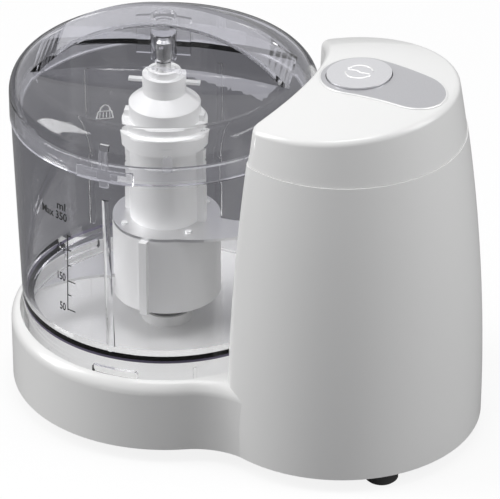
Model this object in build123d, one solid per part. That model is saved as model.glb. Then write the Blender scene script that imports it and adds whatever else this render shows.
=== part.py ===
from build123d import *
import math
import os

# Mini food processor with its motor beside the bowl. Millimetres, +Z up.
# The origin is on the table, below the middle of the length; +X runs from the bowl to the motor tower.

# ---- driving dimensions -------------------------------------------------------------------------
BOWL_X = -33.5          # axis of the bowl, blade and drive spindle
TOWER_X = 39.5          # axis that the tower's outer wall is turned about
MOTOR_X = 57.0          # motor shaft
FOOT_H = 6.0            # height the housing stands above the table
PLINTH_R = 61.5         # round plinth below the bowl
PLINTH_TOP = 36.0
PLINTH_EDGE = 5.5       # rounding of the plinth's top edge
WAIST_R = 30.0          # hollow fillet between plinth and tower, in plan
TOWER_R = 55.5          # tower radius at its fullest height
BELLY_Z = 14.5
TOWER_ARC_R = 794.0     # radius of the tower wall's slow inward curve
SEAM_Z = 129.0          # joint line between housing and cap
SEAM_GAP = 0.15
CAP_INSET = 0.4         # the housing's rim stands out this far below the cap
CLEAR_R = 61.0          # hollow face of the tower, concentric with the bowl
HORN_EDGE = 5.0         # rounding of the two upright edges beside the bowl
WALL = 2.5
CROWN_R = 144.0         # spherical top of the cap
CROWN_X = 52.0
CROWN_TOP = 153.0
BUTTON_X = 45.6
BUTTON_R = 12.3
PLATE_R = 14.4          # control plate's end about the button
PLATE_END_R = 12.3
PLATE_END = 22.4        # from the button to the middle of the plate's other end
PLATE_TURN = -7.0       # slant of the control plate in plan

SEAT_R = 58.0           # recess in the plinth that takes the bowl's skirt
SEAT_Z = 30.0
SPINDLE_BOSS_TOP = 34.5
FLOOR_Z = 43.5          # inside face of the bowl's floor
BOWL_R_LOW = 56.8
BOWL_R_HIGH = 59.0
FLOOR_T = 1.9
SHOULDER_Z = 121.2      # step that the lid's skirt stands over
RIM_Z = 128.0
RIM_R = 57.1
BOWL_WALL = 2.1
TUBE_R = 8.6            # clear centre tube of the bowl
TUBE_BORE = 6.0
TUBE_TOP = 108.0
RIB_ANGLES = (-89.5, 90.5, 145.0)
RIB_LOW = 46.0
RIB_TOP = 113.3
WINDOW_ANGLES = (-88.5, 31.5, 151.5)

LID_R = 59.5
LID_WALL = 2.0
LID_SHOULDER_R = 10.0
LID_SHOULDER_TOP = 141.5
LID_DOME_TOP = 147.0
GRIP_ANGLE = 14.0       # plan direction of the grip bar on the closed lid
GRIP_TOP = 163.5
GRIP_END_Z = 136.0
GRIP_SPAN = 54.0
GRIP_TOP_HALF = 9.0
GRIP_FOOT_HALF = 12.8
BOSS_R = 5.0            # bearing boss in the middle of the lid
BOSS_LOW = 144.6
BOSS_TOP = 162.3
CLIP_ANGLES = (-89.5, 90.5)
CLIP_PROUD = 0.9

PIN_R = 2.8             # steel pin on top of the blade hub
PIN_HEAD_R = 4.2
PIN_LOW = 128.6
PIN_TOP = 153.0
SPINDLE_R = 3.5
HEX_FLATS = 6.0
HEX_LOW = 112.0
HEX_TOP = 125.0
RUN = 0.05              # radial clearance of a shaft in its bearing
GAP = 0.3               # clearance between parts that pass each other

DRUM_R = 21.2           # lower drum of the blade hub
DRUM_LOW = 44.0
DRUM_TOP = 76.3
BLADE_T = 1.2
BLADE_TIP_R = 49.5
LOWER_BLADE_Z = 51.5
BLADE_ANGLE = 16.0      # plan direction of the upper blade's tip
LOWER_BLADE_ANGLE = 221.0
FIN_ANGLE = -90.0       # upright fin on the drum
HUB_R = 13.75
HUB_GROOVE = 107.0      # narrow neck below the hub's wide band
HUB_BAND_R = 16.5
HUB_BAND_LOW = 108.5
HUB_BAND_TOP = 118.5
HUB_SHOULDER = 125.5
HUB_NECK_R = 8.4
HUB_NECK_LOW = 129.5
HUB_COLLAR_TOP = 137.0
HUB_TOP = 139.5
HUB_TOP_R = 6.5
EAR_ANGLE = 13.3        # plan direction of the hub's finger ears
EAR_R = 13.8

BELT_PITCH = 3.0
MOTOR_TEETH = 15
DRIVEN_TEETH = 90
BELT_LOW = 12.5
BELT_W = 9.0
BELT_T = 1.4
TOOTH_DEPTH = 1.0

STACK_LOW = 58.0        # motor laminations
STACK_TOP = 86.0
STACK_X = 46.0
STACK_Y = 52.0
ARMATURE_R = 15.0
COIL_OUT = 17.9         # middle of a field coil from the motor's axis
SHAFT_R = 3.0
BOARD_Z = 117.0

FEET = [(70.0, -35.5), (70.0, 35.5), (-60.0, -33.0), (-60.0, 33.0)]
FOOT_R = 6.5
COVER_SCREWS = [(-33.5, 52.0), (-33.5, -52.0), (8.0, 40.0), (8.0, -40.0), (82.4, 24.8), (82.4, -24.8)]
CAP_SCREWS = [(28.0, 32.0), (28.0, -32.0), (78.0, 0.0)]
CORD_Z = 22.0           # height of the cord inlet, on the tower's +Y side
CORD_BORE = 3.4
CORD_BUSH_L = 7.3
CLAMP_Y = 44.0
CLAMP_HALF = 7.5        # from the lead to each clamp screw


# ---- small shape helpers --------------------------------------------------------------------------
def rod(x, y, z0, z1, r):
    """Upright cylinder."""
    return Pos(x, y, (z0 + z1) / 2) * Cylinder(r, z1 - z0)


def ring(x, y, z0, z1, outer, inner):
    """Upright tube."""
    return rod(x, y, z0, z1, outer) - rod(x, y, z0 - 1, z1 + 1, inner)


def block(x, y, z0, z1, lx, ly):
    """Upright box centred on x, y."""
    return Pos(x, y, (z0 + z1) / 2) * Box(lx, ly, z1 - z0)


def turned(points, x=0.0):
    """Solid turned about the vertical line at x from (radius, height) points."""
    outline = Plane.XZ * make_face(Polyline(*points, close=True))
    return Pos(x, 0, 0) * revolve(outline, Axis.Z, 360)


def at_angle(shape, angle, x=0.0):
    """Shape turned about the vertical line at x."""
    return Pos(x, 0, 0) * Rot(0, 0, angle) * Pos(-x, 0, 0) * shape


def save(shape, name):
    os.makedirs("parts", exist_ok=True)
    export_step(shape, f"parts/{name}.step")


# ---- casing -----------------------------------------------------------------------------------------
def plan_outline(inset):
    """Plinth and tower in plan, joined by hollow fillets at the waist."""
    tower_r = tower_radius(PLINTH_TOP)
    span = TOWER_X - BOWL_X
    to_plinth = PLINTH_R + WAIST_R
    to_tower = tower_r + WAIST_R
    along = (span**2 + to_plinth**2 - to_tower**2) / (2 * span)
    across = math.sqrt(to_plinth**2 - along**2)
    waist_x = BOWL_X + along
    web = make_face(Polyline((BOWL_X, 0), (waist_x, across), (TOWER_X, 0), (waist_x, -across), close=True))
    for side in (-1, 1):
        web -= Pos(waist_x, side * across) * Circle(WAIST_R + inset)
    return web + Pos(BOWL_X, 0) * Circle(PLINTH_R - inset) + Pos(TOWER_X, 0) * Circle(tower_r - inset)


def tower_radius(z):
    return TOWER_R - TOWER_ARC_R + math.sqrt(TOWER_ARC_R**2 - (z - BELLY_Z) ** 2)


def tower_core(inset, z0, z1):
    """Turned tower, before its bowl side is hollowed."""
    radii = [tower_radius(z) - inset for z in (z0, (z0 + z1) / 2, z1)]
    wall = ThreePointArc((radii[0], z0), (radii[1], (z0 + z1) / 2), (radii[2], z1))
    rest = Polyline((radii[2], z1), (0, z1), (0, z0), (radii[0], z0))
    return Pos(TOWER_X, 0, 0) * revolve(Plane.XZ * make_face([wall, rest]), Axis.Z, 360)


def tower_solid(inset, z0, z1):
    """Tower with its hollow face towards the bowl."""
    return tower_core(inset, z0, z1) - rod(BOWL_X, 0, z0 - 1, z1 + 1, CLEAR_R + inset)


def horn_edges(shape, z0, z1):
    """The two upright edges where the hollow face meets the outer wall."""
    picked = []
    for edge in shape.edges():
        box = edge.bounding_box()
        if box.size.Z > 0.6 * (z1 - z0) and abs(edge.center().Y) > 20:
            picked.append(edge)
    return picked


def crown(offset):
    """Sphere that tops the cap, grown by offset."""
    return Pos(CROWN_X, 0, CROWN_TOP - CROWN_R) * Sphere(CROWN_R + offset)


def make_base_housing():
    """Plinth and tower moulded as one shell, open below and at the top of the tower."""
    plinth = Pos(0, 0, FOOT_H) * extrude(plan_outline(0), PLINTH_TOP - FOOT_H)
    plinth = fillet(plinth.faces().sort_by(Axis.Z)[-1].edges(), PLINTH_EDGE)
    face_low = PLINTH_TOP - PLINTH_EDGE
    tower = tower_core(0, FOOT_H, SEAM_Z) - rod(BOWL_X, 0, face_low, SEAM_Z + 1, CLEAR_R)
    tower = fillet(horn_edges(tower, face_low, SEAM_Z), HORN_EDGE)
    body = plinth + tower
    inner = Pos(0, 0, FOOT_H - 1) * extrude(plan_outline(WALL), SEAT_Z - WALL - FOOT_H + 1)
    inner += tower_solid(WALL, SEAT_Z - WALL - 1, SEAM_Z + 1)
    body -= inner
    body -= rod(BOWL_X, 0, SEAT_Z, PLINTH_TOP + 1, SEAT_R)
    # bearing boss for the spindle
    body += ring(BOWL_X, 0, SEAT_Z - WALL - 3, SPINDLE_BOSS_TOP, 10.0, 7.5)
    body -= rod(BOWL_X, 0, SEAT_Z - WALL - 4, SPINDLE_BOSS_TOP + 1, 7.5)
    # plunger hole in the seat's floor, cord inlet and belt-side screw posts
    body -= rod(BOWL_X + 55.4, 0, SEAT_Z - WALL - 1, SEAT_Z + 1, 1.5 + GAP)
    body -= Pos(TOWER_X, 50, CORD_Z) * Rot(90, 0, 0) * Cylinder(6.0, 20)
    for x, y in COVER_SCREWS:
        body += ring(x, y, FOOT_H + WALL, SEAT_Z - WALL, 4.0, 1.3)
    return body


def make_tower_cap():
    """Crowned cap that closes the tower, with a locating lip, a plate recess and the button hole."""
    low = SEAM_Z + SEAM_GAP
    outer = tower_solid(CAP_INSET, low, 160)
    outer = fillet(horn_edges(outer, low, 160), HORN_EDGE) & crown(0)
    top = outer.faces().sort_by(Axis.Z)[-1]
    outer = fillet(top.edges(), 2.8)
    inner = tower_solid(WALL, low - 1, 160) & crown(-WALL)
    shell = outer - inner
    lip = tower_solid(WALL + 0.15, SEAM_Z - 4, low) + tower_solid(WALL - 0.5, low, low + 3)
    shell += lip - tower_solid(WALL + 1.8, SEAM_Z - 5, low + 4)
    shell += ring(BUTTON_X, 0, 136, CROWN_TOP, BUTTON_R + 4.2, BUTTON_R + GAP) & crown(-1.5)
    shell -= plate_prism(0.1) - crown(-1.0)
    shell -= rod(BUTTON_X, 0, 130, CROWN_TOP + 5, BUTTON_R + GAP)
    for x, y in CAP_SCREWS:
        shell += rod(x, y, SEAM_Z - 4, CROWN_TOP, 3.6) & crown(-1.5)
        shell -= rod(x, y, SEAM_Z - 5, SEAM_Z + 8, 1.2)
    return shell


def plate_prism(grow):
    """Upright prism of the control plate's outline: a round end about the button and a smaller one."""
    near = Pos(BUTTON_X, 0) * Circle(PLATE_R + grow)
    far = Pos(BUTTON_X + PLATE_END, 0) * Circle(PLATE_END_R + grow)
    prism = extrude(make_hull(near.edges() + far.edges()), 20)
    return Pos(0, 0, 140) * at_angle(prism, PLATE_TURN, BUTTON_X)


def make_control_plate():
    plate = plate_prism(0) & (crown(0.35) - crown(-1.0))
    return plate - rod(BUTTON_X, 0, 130, CROWN_TOP + 5, BUTTON_R + GAP)


def make_pulse_button():
    """Round crowned key with a stem that reaches the switch and two barbs that stop it."""
    key = rod(BUTTON_X, 0, 140, CROWN_TOP + 5, BUTTON_R) & crown(1.1)
    key -= rod(BUTTON_X, 0, 130, 149, BUTTON_R - 1.6)
    key += rod(BUTTON_X, 0, 128.5, 150, 2.4)
    clip = ring(BUTTON_X, 0, 133.2, 135.2, BUTTON_R + 2.6, BUTTON_R - 1.6)
    clip &= block(BUTTON_X, 0, 130, 140, 12, 60)
    skirt = ring(BUTTON_X, 0, 134, 141, BUTTON_R, BUTTON_R - 1.6)
    return key + skirt + clip


def make_button_spring():
    turns = 6.0
    low, high = 129.4, 148.4
    path = Pos(BUTTON_X, 0, low) * Helix((high - low) / turns, high - low, 4.2)
    start = path @ 0
    profile = Plane(start, z_dir=path % 0) * Circle(0.45)
    return sweep(profile, path, is_frenet=True)


def make_bottom_cover():
    """Flat cover inside the housing's lower edge, with vents, screw holes and foot sockets."""
    cover = Pos(0, 0, FOOT_H) * extrude(plan_outline(WALL + 0.15), WALL)
    for x, y in COVER_SCREWS:
        cover -= rod(x, y, FOOT_H - 1, FOOT_H + WALL + 1, 1.7)
        cover -= rod(x, y, FOOT_H - 1, FOOT_H + 1.2, 3.3)
    for x, y in FEET:
        cover -= rod(x, y, FOOT_H - 1, FOOT_H + WALL + 1, 3.0)
    for i in range(7):
        cover -= block(MOTOR_X - 15 + 5 * i, 0, FOOT_H - 1, FOOT_H + WALL + 1, 2.0, 26)
    cover += ring(BOWL_X, 0, FOOT_H + WALL, FOOT_H + WALL + 2.2, 9.0, 7.0)
    cover += ring(MOTOR_X, 22, FOOT_H + WALL, FOOT_H + WALL + 12, 3.5, 1.3)
    cover += ring(MOTOR_X, -22, FOOT_H + WALL, FOOT_H + WALL + 12, 3.5, 1.3)
    for side in (-CLAMP_HALF, CLAMP_HALF):
        cover += ring(TOWER_X + side, CLAMP_Y, FOOT_H + WALL, CORD_Z + 5.2, 3.2, 1.3)
    return cover


def make_rubber_feet():
    feet = []
    for x, y in FEET:
        foot = turned([(0, 0), (FOOT_R - 0.8, 0), (FOOT_R, 0.8), (FOOT_R, 4.6), (FOOT_R - 0.6, FOOT_H),
                       (3.0, FOOT_H), (3.0, FOOT_H + WALL), (3.8, FOOT_H + WALL), (3.8, FOOT_H + WALL + 0.8),
                       (2.2, FOOT_H + WALL + 2.2), (0, FOOT_H + WALL + 2.2)])
        feet.append(Pos(x, y, 0) * foot)
    return Compound(children=feet)


def make_cover_screws():
    screws = []
    for x, y in COVER_SCREWS:
        screw = rod(x, y, FOOT_H + 0.2, FOOT_H + 1.2, 3.0) + rod(x, y, FOOT_H + 1.2, FOOT_H + 14, 1.3)
        screw -= block(x, y, FOOT_H, FOOT_H + 0.8, 3.6, 0.7) + block(x, y, FOOT_H, FOOT_H + 0.8, 0.7, 3.6)
        screws.append(screw)
    return Compound(children=screws)


def make_cap_screws():
    """Screws driven up through the board's frame into the cap's posts."""
    screws = []
    for x, y in CAP_SCREWS:
        screws.append(rod(x, y, SEAM_Z - 7, SEAM_Z - 5.6, 2.8) + rod(x, y, SEAM_Z - 5.6, SEAM_Z + 6, 1.2))
    return Compound(children=screws)


# ---- drive under the bowl ---------------------------------------------------------------------------
def toothed_disc(x, teeth, z0, z1):
    """Flat-topped belt pulley blank with one groove for each tooth of the belt."""
    pitch_r = teeth * BELT_PITCH / (2 * math.pi)
    outer = pitch_r - 0.4
    root = outer - TOOTH_DEPTH
    points = []
    for i in range(teeth):
        start = 2 * math.pi * i / teeth
        step = 2 * math.pi / teeth
        for part, radius in ((0.0, outer), (0.5, outer), (0.6, root), (0.9, root)):
            angle = start + part * step
            points.append((radius * math.cos(angle), radius * math.sin(angle)))
    return Pos(x, 0, z0) * extrude(make_face(Polyline(*points, close=True)), z1 - z0)


def pulley_radius(teeth):
    return teeth * BELT_PITCH / (2 * math.pi) - 0.4


def belt_band(grow, z0, z1):
    """Prism of the belt's loop round both pulleys, grown by a wall thickness."""
    small = Pos(MOTOR_X, 0) * Circle(pulley_radius(MOTOR_TEETH) + grow)
    large = Pos(BOWL_X, 0) * Circle(pulley_radius(DRIVEN_TEETH) + grow)
    return Pos(0, 0, z0) * extrude(make_hull(small.edges() + large.edges()), z1 - z0)


def make_drive_belt():
    low, high = BELT_LOW + 0.5, BELT_LOW + BELT_W - 0.5
    return belt_band(GAP + BELT_T, low, high) - belt_band(GAP, low - 1, high + 1)


def make_driven_pulley():
    wheel = toothed_disc(BOWL_X, DRIVEN_TEETH, BELT_LOW, BELT_LOW + BELT_W)
    wheel -= ring(BOWL_X, 0, BELT_LOW + 3.0, BELT_LOW + BELT_W + 1, 38.5, 9.5)
    for i in range(6):
        wheel -= at_angle(rod(BOWL_X + 24, 0, BELT_LOW - 1, BELT_LOW + 4, 7.5), 60 * i, BOWL_X)
    return wheel - rod(BOWL_X, 0, BELT_LOW - 1, BELT_LOW + BELT_W + 1, SPINDLE_R)


def make_motor_pulley():
    disc = toothed_disc(MOTOR_X, MOTOR_TEETH, BELT_LOW, BELT_LOW + BELT_W)
    for flange_low in (BELT_LOW - 1.2, BELT_LOW + BELT_W):
        disc += rod(MOTOR_X, 0, flange_low, flange_low + 1.2, 8.6)
    return disc - rod(MOTOR_X, 0, BELT_LOW - 3, BELT_LOW + BELT_W + 3, SHAFT_R)


def make_drive_spindle():
    """Steel spindle with a ground groove for its clip and a hexagonal top."""
    shaft = rod(BOWL_X, 0, FOOT_H + WALL + 0.4, HEX_LOW, SPINDLE_R)
    flats = RegularPolygon(HEX_FLATS / 2, 6, major_radius=False)
    hexagon = Pos(BOWL_X, 0, HEX_LOW) * extrude(flats, HEX_TOP - HEX_LOW - 1)
    tip = Pos(BOWL_X, 0, HEX_TOP - 1) * extrude(Circle(HEX_FLATS / 2 - 0.4), 1)
    shaft -= ring(BOWL_X, 0, 22.8, 23.7, SPINDLE_R + 1, SPINDLE_R - 0.6)
    return shaft + hexagon + tip


def make_spindle_clip():
    clip = ring(BOWL_X, 0, 22.8, 23.7, 6.2, SPINDLE_R - 0.6)
    return clip - block(BOWL_X + 5, 0, 22, 24.5, 10, 3.0)


def bearing(x, z0, z1, outer, inner):
    """Sintered bush with small chamfers."""
    bush = ring(x, 0, z0, z1, outer, inner)
    return chamfer(bush.edges().filter_by(GeomType.CIRCLE), 0.3)


def make_spindle_seal():
    """Rubber lip seal standing on the boss round the spindle."""
    low = SPINDLE_BOSS_TOP
    return turned([(SPINDLE_R + RUN, low), (9.0, low), (9.0, low + 0.8), (6.0, low + 2.4),
                   (SPINDLE_R + RUN, low + 2.4)], BOWL_X)


# ---- motor -----------------------------------------------------------------------------------------
def make_field_core():
    core = block(MOTOR_X, 0, STACK_LOW, STACK_TOP, STACK_X, STACK_Y)
    core = chamfer(core.edges().filter_by(Axis.Z), 6)
    core -= rod(MOTOR_X, 0, STACK_LOW - 1, STACK_TOP + 1, ARMATURE_R + 0.6)
    for side in (-1, 1):
        core -= block(MOTOR_X + side * COIL_OUT, 0, STACK_LOW - 1, STACK_TOP + 1, 5.0, 22)
        core -= rod(MOTOR_X, side * 22, STACK_LOW - 1, STACK_TOP + 1, 1.6)
    return core


def make_field_coils():
    """Two taped coils standing in the windows of the core."""
    coils = []
    for side in (-1, 1):
        coil = block(MOTOR_X + side * COIL_OUT, 0, STACK_LOW - 7, STACK_TOP + 7, 4.6, 21)
        coil = fillet(coil.edges().filter_by(Axis.X), 4)
        coils.append(coil)
    return Compound(children=coils)


def make_bracket(z0, z1, bearing_r, name_side):
    """Cross bar that carries one motor bearing on two legs."""
    bar = block(MOTOR_X, 0, z0, z1, 16, STACK_Y)
    bar = fillet(bar.edges().filter_by(Axis.Z), 4)
    bar += rod(MOTOR_X, 0, z0, z1, 11) + block(MOTOR_X, 0, z0, z1, 40, 8)
    leg_low, leg_high = (z1, STACK_LOW) if name_side == "lower" else (STACK_TOP, z0)
    for side in (-1, 1):
        bar += rod(MOTOR_X, side * 22, leg_low, leg_high, 3.6)
        bar -= rod(MOTOR_X, side * 22, z0 - 1, z1 + 1, 1.6)
        bar -= rod(MOTOR_X, side * 22, leg_low - 1, leg_high + 1, 1.6)
    return bar - rod(MOTOR_X, 0, z0 - 1, z1 + 1, bearing_r)


def make_motor_screws():
    screws = []
    for side in (-1, 1):
        screws.append(rod(MOTOR_X, side * 22, 36, 112, 1.6) + rod(MOTOR_X, side * 22, 112, 114.4, 3.0))
    return Compound(children=screws)


def make_motor_mounts():
    """Rubber sleeves between the motor frame and the posts of the bottom cover."""
    low = FOOT_H + WALL + 12
    return Compound(children=[ring(MOTOR_X, side * 22, low, 36, 4.2, 1.6) for side in (-1, 1)])


def make_motor_shaft():
    return rod(MOTOR_X, 0, FOOT_H + WALL + 1.2, 113, SHAFT_R)


def make_armature_core():
    """Slotted lamination pack."""
    core = rod(MOTOR_X, 0, STACK_LOW, STACK_TOP, ARMATURE_R)
    for i in range(12):
        slot = rod(MOTOR_X + 10.8, 0, STACK_LOW - 1, STACK_TOP + 1, 1.9)
        slot += block(MOTOR_X + 13.5, 0, STACK_LOW - 1, STACK_TOP + 1, 5, 1.2)
        core -= at_angle(slot, 30 * i, MOTOR_X)
    return core - rod(MOTOR_X, 0, STACK_LOW - 1, STACK_TOP + 1, SHAFT_R)


def make_armature_winding():
    """Copper in the slots, joined by a domed overhang at each end."""
    low = turned([(SHAFT_R, STACK_LOW), (13.6, STACK_LOW), (13.0, STACK_LOW - 4), (9, STACK_LOW - 6),
                  (SHAFT_R, STACK_LOW - 6)], MOTOR_X)
    high = turned([(SHAFT_R, STACK_TOP), (13.6, STACK_TOP), (13.0, STACK_TOP + 4), (9, STACK_TOP + 6),
                   (SHAFT_R, STACK_TOP + 6)], MOTOR_X)
    winding = low + high
    for i in range(12):
        winding += at_angle(rod(MOTOR_X + 10.8, 0, STACK_LOW, STACK_TOP, 1.8), 30 * i, MOTOR_X)
    return winding


def make_commutator():
    low = STACK_TOP + 7
    drum = rod(MOTOR_X, 0, low, low + 10, 8)
    for i in range(12):
        drum -= at_angle(block(MOTOR_X + 8, 0, low + 2, low + 11, 1.6, 0.6), 30 * i, MOTOR_X)
    return drum - rod(MOTOR_X, 0, low - 1, low + 11, SHAFT_R)


def make_cooling_fan():
    low = 42.0
    fan = rod(MOTOR_X, 0, low, low + 1.5, 17.4) + rod(MOTOR_X, 0, low, low + 8, 6)
    for i in range(9):
        blade = Pos(MOTOR_X + 12.2, 0, low + 4.6) * Rot(18, 0, 0) * Box(11.6, 1.2, 7.6)
        fan += at_angle(blade & ring(MOTOR_X, 0, low, low + 8, 17.2, 5), 40 * i, MOTOR_X)
    return fan - rod(MOTOR_X, 0, low - 1, low + 9, SHAFT_R)


def brush_pose(side, shape):
    return at_angle(shape, 180 * side, MOTOR_X)


def make_brush_holders():
    """Moulded boxes fixed below the upper bracket, one each side of the commutator."""
    low = STACK_TOP + 8
    holders = []
    for side in (0, 1):
        box = block(MOTOR_X + 16, 0, low, low + 8, 13, 9)
        box -= block(MOTOR_X + 15, 0, low + 1.6, low + 6.4, 13, 5.6)
        box += block(MOTOR_X + 16, 0, low + 8, 105, 6, 7)
        holders.append(brush_pose(side, box))
    return Compound(children=holders)


def make_carbon_brushes():
    low = STACK_TOP + 8
    brush = block(MOTOR_X + 13.2, 0, low + 1.7, low + 6.3, 10, 5.4)
    return Compound(children=[brush_pose(side, brush) for side in (0, 1)])


# ---- electrics -------------------------------------------------------------------------------------
def make_circuit_board():
    """Round-edged board on the cap's posts that carries the switch and the capacitor."""
    board = block(53, 0, BOARD_Z, BOARD_Z + 1.6, 56, 40) & tower_solid(WALL + 4, BOARD_Z - 1, BOARD_Z + 3)
    return board - rod(MOTOR_X + 22, 0, BOARD_Z - 1, BOARD_Z + 3, 3.2)


def make_board_posts():
    """Pillars that hang the board from the cap's screw posts."""
    posts = []
    for x, y in ((42.0, 17.0), (42.0, -17.0), (70.0, 15.0), (70.0, -15.0)):
        posts.append(rod(x, y, BOARD_Z + 1.6, SEAM_Z - 1, 2.4) + rod(x, y, BOARD_Z - 1.6, BOARD_Z, 2.4))
    return Compound(children=posts)


def make_pulse_switch():
    body = block(BUTTON_X, 0, BOARD_Z + 1.6, BOARD_Z + 8.2, 20, 8)
    lever = block(BUTTON_X, 0, BOARD_Z + 8.2, BOARD_Z + 8.8, 17, 4)
    return body + lever


def make_capacitor():
    case = block(66, 0, BOARD_Z + 1.6, BOARD_Z + 11, 9, 20)
    return fillet(case.edges().filter_by(Axis.Z), 1.5)


def make_interlock_switch():
    """Small switch that the bowl's plunger works, on the floor of the plinth."""
    return block(BOWL_X + 55.4, 0, FOOT_H + WALL, BELT_LOW - 1.0, 9, 6)


def make_interlock_plunger():
    stem = rod(BOWL_X + 55.4, 0, 24.6, SEAT_Z + 0.2, 1.5)
    return stem + rod(BOWL_X + 55.4, 0, 24.0, 24.8, 2.6)


def make_cord_inlet_bush():
    """Grommet in the tower's wall, with the bore that takes the mains lead."""
    mouth = tower_radius(CORD_Z) - 0.1
    across = Pos(TOWER_X, mouth, CORD_Z) * Rot(90, 0, 0)
    neck = across * Pos(0, 0, CORD_BUSH_L / 2) * Cylinder(5.9, CORD_BUSH_L)
    flange = across * Pos(0, 0, WALL + 2.0) * Cylinder(7.4, 1.6)
    return neck + flange - across * Cylinder(CORD_BORE, 40)


def make_cord_clamp():
    """Bar on two posts that will grip the lead behind its inlet."""
    bar = block(TOWER_X, CLAMP_Y, CORD_Z + 5.2, CORD_Z + 8, 20, 6)
    for side in (-CLAMP_HALF, CLAMP_HALF):
        bar -= rod(TOWER_X + side, CLAMP_Y, 0, 60, 1.3)
    return bar


# ---- bowl, blade and lid -----------------------------------------------------------------------------
def wall_radius(z):
    """Outside radius of the bowl's tapered wall."""
    return BOWL_R_LOW + (BOWL_R_HIGH - BOWL_R_LOW) * (z - FLOOR_Z) / (SHOULDER_Z - FLOOR_Z)


def make_bowl():
    """Clear bowl with a centre tube, a skirt that seats in the plinth and a stepped rim."""
    skirt_low = SEAT_Z + GAP
    low_r = wall_radius(FLOOR_Z) - BOWL_WALL
    outer = [(TUBE_BORE, FLOOR_Z - FLOOR_T), (low_r, FLOOR_Z - FLOOR_T), (low_r, skirt_low),
             (56.6, skirt_low), (56.6, FLOOR_Z - 1.2),
             (BOWL_R_LOW, FLOOR_Z), (BOWL_R_HIGH, SHOULDER_Z), (RIM_R, SHOULDER_Z + 0.2), (RIM_R, RIM_Z - 0.5),
             (RIM_R - 0.5, RIM_Z), (RIM_R - 1.6, RIM_Z), (RIM_R - 1.9, SHOULDER_Z - 2)]
    inner = [(wall_radius(FLOOR_Z + 4) - BOWL_WALL, FLOOR_Z + 4), (low_r - 3, FLOOR_Z),
             (TUBE_R + 0.4, FLOOR_Z), (TUBE_R, FLOOR_Z + 3), (TUBE_R - 0.6, TUBE_TOP), (TUBE_BORE, TUBE_TOP)]
    bowl = turned(outer + inner, BOWL_X)
    for angle in (-118, 2, 122):
        lug = ring(BOWL_X, 0, skirt_low + 0.5, skirt_low + 3.5, 57.6, 56.0)
        bowl += at_angle(lug & block(BOWL_X + 57, 0, 20, 60, 10, 12), angle, BOWL_X)
    for angle in WINDOW_ANGLES:
        window = block(BOWL_X + 56, 0, FLOOR_Z - 9.9, FLOOR_Z - 6.0, 8, 18.6)
        bowl -= at_angle(fillet(window.edges().filter_by(Axis.X), 1.2), angle, BOWL_X)
        stop = ring(BOWL_X, 0, skirt_low + 2, FLOOR_Z - 3.5, 57.2, 56.0)
        bowl += at_angle(stop & block(BOWL_X + 57, 0, 20, 60, 10, 1.4), angle + 32, BOWL_X)
    for angle in RIB_ANGLES:
        bowl += at_angle(wall_rib(), angle, BOWL_X)
    return bowl


def wall_rib():
    """Slim upright rib on the outside of the bowl's wall."""
    foot = Pos(BOWL_X + wall_radius(RIB_LOW) - 0.9, 0, RIB_LOW) * Circle(1.8)
    head = Pos(BOWL_X + wall_radius(RIB_TOP) - 0.9, 0, RIB_TOP) * Circle(1.8)
    return loft([foot, head])


def make_bowl_bush():
    """Flanged bush that centres the bowl's tube on the spindle."""
    bore, body, flange = SPINDLE_R + RUN, TUBE_BORE - RUN, TUBE_R - 0.8
    return turned([(bore, TUBE_TOP - 12), (body, TUBE_TOP - 12), (body, TUBE_TOP + 0.1), (flange, TUBE_TOP + 0.1),
                   (flange, TUBE_TOP + 1.6), (bore, TUBE_TOP + 1.6)], BOWL_X)


def polar(radius, angle):
    return (radius * math.cos(math.radians(angle)), radius * math.sin(math.radians(angle)))


def blade_wing(z):
    """Swept blade whose tip points along +X: curved cutting edge, nearly straight back."""
    root_front = polar(DRUM_R - 2, -106)
    edge = ThreePointArc(root_front, polar(30.6, -35), (BLADE_TIP_R, 0))
    back = ThreePointArc((BLADE_TIP_R, 0), (36.0, -3.6), (DRUM_R - 2, -1.0))
    inside = Line((DRUM_R - 2, -1.0), root_front)
    return Pos(0, 0, z) * extrude(make_face([edge, back, inside]), BLADE_T)


def make_blade(z, ring_out, ring_in, angle):
    """Steel wing on a ring that the hub is moulded round."""
    blade = blade_wing(z) - rod(0, 0, z - 1, z + 3, ring_in)
    blade += ring(0, 0, z, z + BLADE_T, ring_out, ring_in)
    return Pos(BOWL_X, 0, 0) * Rot(0, 0, angle) * blade


def hub_pins():
    """Ends of the four moulded pins that hold the upper blade's ring."""
    return [at_angle(rod(BOWL_X + 18.0, 0, DRUM_TOP - 0.5, DRUM_TOP + BLADE_T + 0.9, 1.2), angle, BOWL_X)
            for angle in (-130, -39, 51, 141)]


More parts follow.
